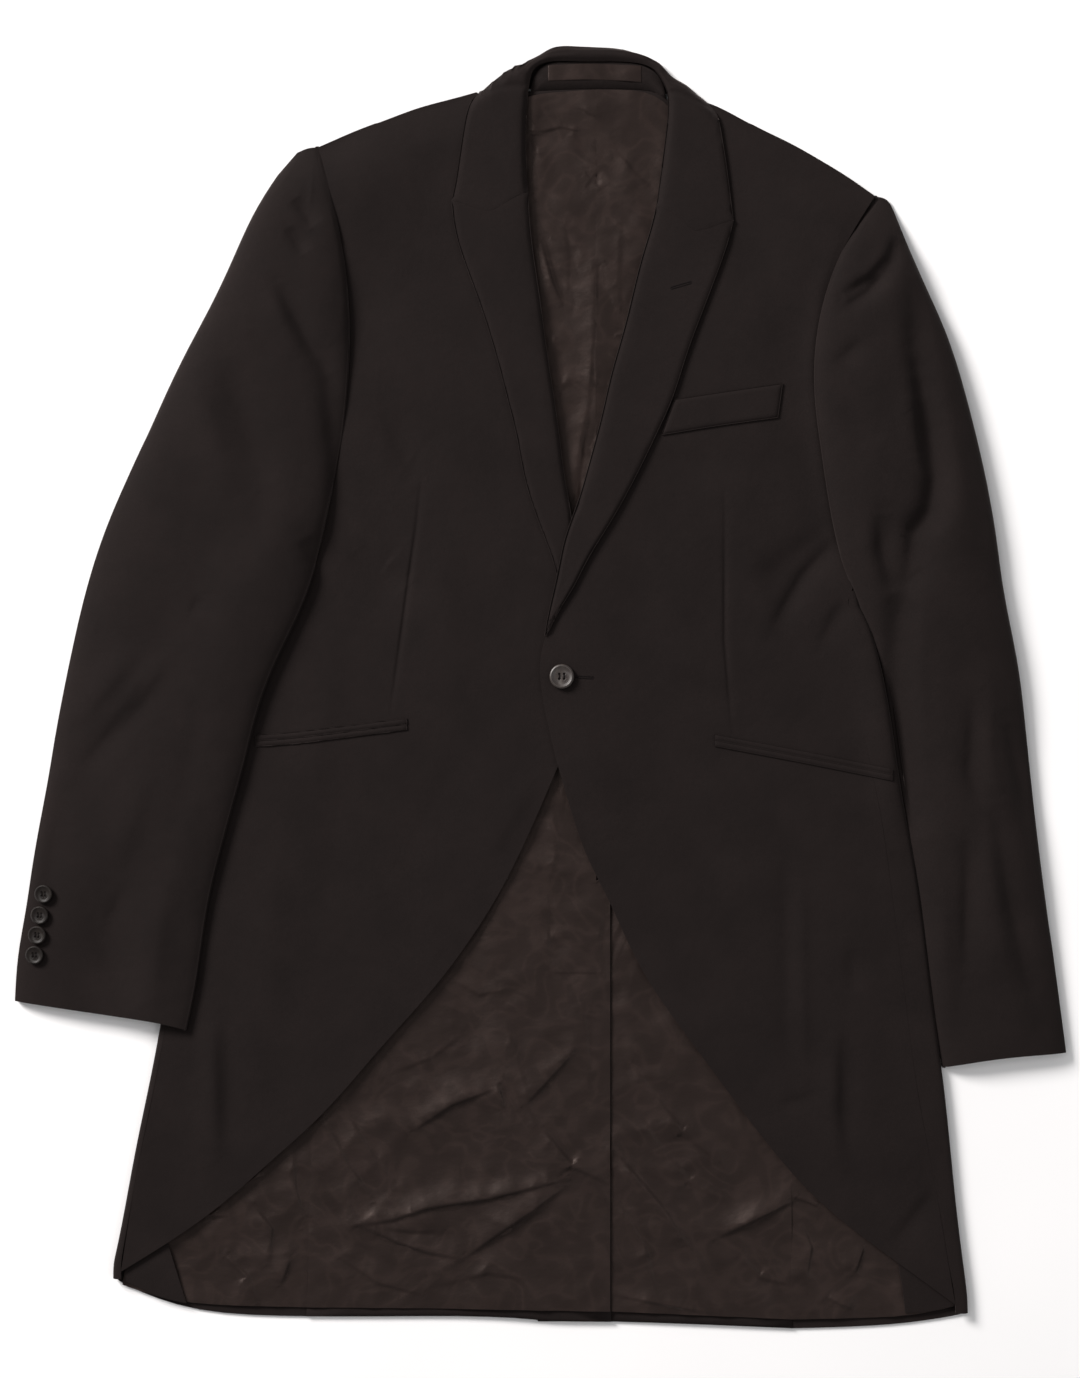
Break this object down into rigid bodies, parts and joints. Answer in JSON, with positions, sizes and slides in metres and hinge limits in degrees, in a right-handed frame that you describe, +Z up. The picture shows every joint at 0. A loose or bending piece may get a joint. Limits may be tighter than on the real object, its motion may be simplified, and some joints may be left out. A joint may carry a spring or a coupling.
{
  "type": "blazer",
  "caption": "Formal cutaway blazer with peak lapels, jetted hip pockets and a satin back lining, laid flat on its back with the front buttoned.",
  "frame": {"origin": "centre of the overall box in plan, on the surface that the coat lies on", "axes": "+Z up out of the face of the coat, +Y towards the collar, +X towards the wearer's left"},
  "size_m": [0.794, 0.9702, 0.0238],
  "materials": {
    "wool": "matt, fine worsted",
    "satin": "soft sheen",
    "horn": "satin"
  },
  "bodies": {
    "root": {"back_left": "wool", "back_right": "wool", "side_panel_left": "wool", "side_panel_right": "wool", "front_left": "wool", "front_right": "wool", "lapel_left": "wool", "lapel_right": "wool", "collar_fall": "wool", "collar_stand": "wool", "sleeve_top_left": "wool", "sleeve_top_right": "wool", "sleeve_under_left": "wool", "sleeve_under_right": "wool", "pocket_jet_upper_left": "wool", "pocket_jet_upper_right": "wool", "pocket_jet_lower_left": "wool", "pocket_jet_lower_right": "wool", "chest_welt": "wool", "hem_facing_left": "wool", "hem_facing_right": "wool", "lining_back_left": "satin", "lining_back_right": "satin", "lining_side_left": "satin", "lining_side_right": "satin", "hanger_loop": "satin", "front_button": "horn", "cuff_button_1": "horn", "cuff_button_2": "horn", "cuff_button_3": "horn", "cuff_button_4": "horn"}
  },
  "joints": []
}
